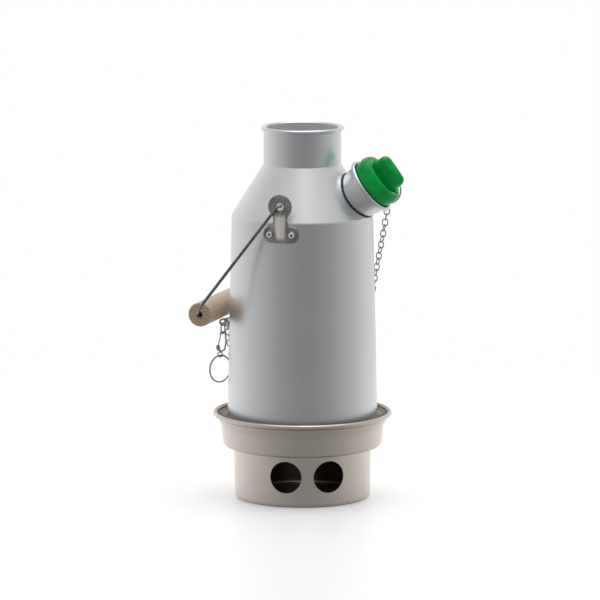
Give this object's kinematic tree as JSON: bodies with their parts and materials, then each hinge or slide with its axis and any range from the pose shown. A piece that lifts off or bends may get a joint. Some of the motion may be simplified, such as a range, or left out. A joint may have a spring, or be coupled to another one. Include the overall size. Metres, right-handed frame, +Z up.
{
  "type": "storm kettle",
  "caption": "Storm kettle with an inner chimney, a side spout with a whistle stopper on a chain, a wood-grip bail and a separate fire base.",
  "frame": {"origin": "centre of the fire base's underside", "axes": "+Z up along the chimney, +X towards the spout, bail axis along Y"},
  "size_m": [0.1608, 0.14, 0.2919],
  "materials": {
    "base_steel": "drawn, fine brushed stainless steel",
    "body_aluminium": "spun, satin",
    "flue_aluminium": "plain drawn",
    "seal": "matt",
    "green_silicone": "smooth silicone",
    "whistle_steel": "stamped",
    "chain_steel": "plain wire",
    "ear_steel": "stamped",
    "rivet_steel": "upset heads",
    "bail_steel": "drawn wire",
    "beech": "turned, plain",
    "hook_steel": "bent wire"
  },
  "bodies": {
    "fire_base": {"fire_base": "base_steel"},
    "kettle": {"outer_shell": "body_aluminium", "flue": "flue_aluminium", "spout": "body_aluminium", "spout_seal": "seal", "near_ear": "ear_steel", "far_ear": "ear_steel", "near_ear_rivets": "rivet_steel", "far_ear_rivets": "rivet_steel", "rear_lug": "ear_steel", "rear_lug_rivets": "rivet_steel", "chain": "chain_steel"},
    "bail": {"bail_wire": "bail_steel"},
    "grip": {"wooden_grip": "beech"},
    "stopper": {"stopper": "green_silicone", "whistle_cup": "whistle_steel"},
    "tether_ring": {"tether_ring": "chain_steel"},
    "lug_loop": {"lug_loop": "hook_steel"},
    "snap_hook": {"snap_hook": "hook_steel", "gate_pin": "hook_steel"},
    "snap_gate": {"snap_gate": "hook_steel"},
    "pull_ring": {"pull_ring": "hook_steel"}
  },
  "joints": [
    {"name": "kettle_lift", "type": "slide", "parent": "fire_base", "child": "kettle", "axis": [0, 0, 1], "range_m": [0, 0.08]},
    {"name": "bail_swing", "type": "hinge", "parent": "kettle", "child": "bail", "pos_m": [-0.0014, 0, 0.236], "axis": [0, 1, 0], "range_deg": [0, 284]},
    {"name": "grip_spin", "type": "hinge", "parent": "bail", "child": "grip", "pos_m": [-0.0695, 0, 0.147], "axis": [0, 1, 0], "continuous": true},
    {"name": "stopper_pull", "type": "slide", "parent": "kettle", "child": "stopper", "axis": [0.8039, 0, 0.5948], "range_m": [0, 0.022], "deforming": ["chain"]},
    {"name": "tether_ring_turn", "type": "hinge", "parent": "stopper", "child": "tether_ring", "pos_m": [0.06193, 0.025, 0.2409], "axis": [0, 1, 0], "continuous": true},
    {"name": "loop_swing", "type": "hinge", "parent": "kettle", "child": "lug_loop", "pos_m": [-0.06371, -0.00528, 0.13485], "axis": [-0.0436, 0.999, 0], "range_deg": [0, 30]},
    {"name": "hook_swing", "type": "hinge", "parent": "lug_loop", "child": "snap_hook", "pos_m": [-0.06371, -0.00528, 0.12635], "axis": [-0.0436, 0.999, 0], "range_deg": [0, 30]},
    {"name": "gate_open", "type": "hinge", "parent": "snap_hook", "child": "snap_gate", "pos_m": [-0.06761, -0.00545, 0.1159], "axis": [-0.0436, 0.999, 0], "range_deg": [0, 12], "stiffness_Nm_per_rad": 0.002, "springref_deg": -17.19},
    {"name": "ring_swing", "type": "hinge", "parent": "snap_hook", "child": "pull_ring", "pos_m": [-0.06591, -0.00538, 0.1089], "axis": [0.5373, 0.8434, 0], "range_deg": [0, 40]}
  ]
}
